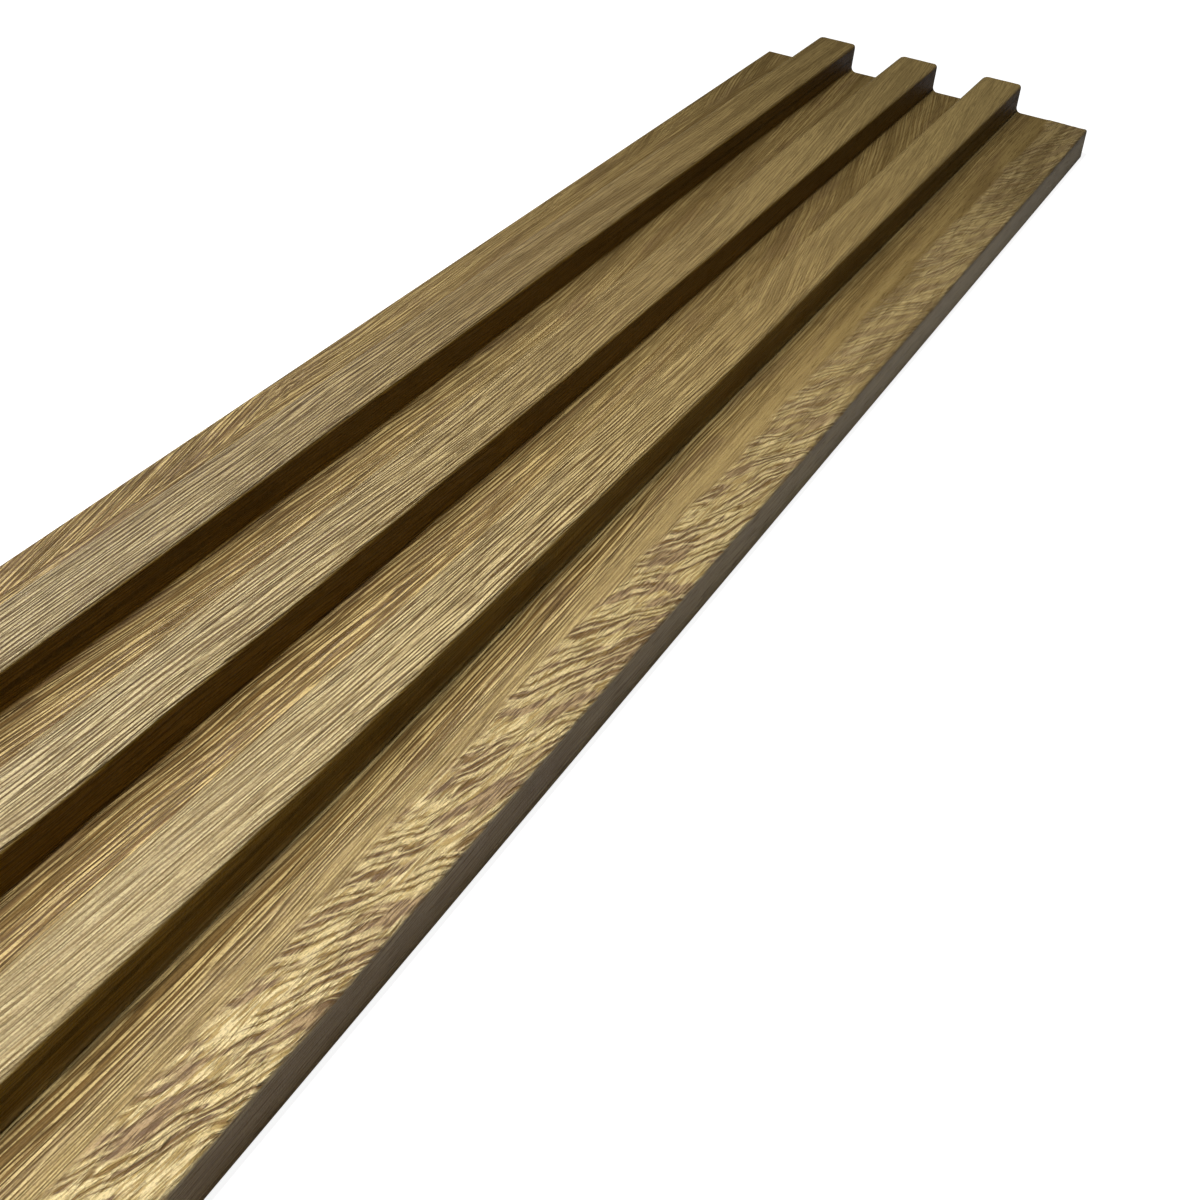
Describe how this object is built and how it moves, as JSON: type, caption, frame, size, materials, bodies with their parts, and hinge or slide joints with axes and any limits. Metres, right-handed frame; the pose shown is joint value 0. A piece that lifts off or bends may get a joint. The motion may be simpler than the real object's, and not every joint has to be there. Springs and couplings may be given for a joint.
{
  "type": "slat wall panel",
  "caption": "Narrow wall panel with raised rounded ribs along its length, flat valleys between them, plain butt edges and a flat back with shallow glue grooves.",
  "frame": {"origin": "centre of the flat back face, on the plane that is glued to the wall", "axes": "+Z out of the ribbed face, +Y along the ribs, +X across the ribs towards the wider plain band"},
  "size_m": [0.1204, 0.6, 0.0202],
  "materials": {
    "wood_grain_film": "matt embossed wood-grain film in golden oak, with pale raised grain and mauve-brown streaks",
    "panel_core": "bare brown wood-plastic core, seen only on the back and at the sawn ends"
  },
  "bodies": {
    "root": {"slat_panel": "wood_grain_film"}
  },
  "joints": []
}
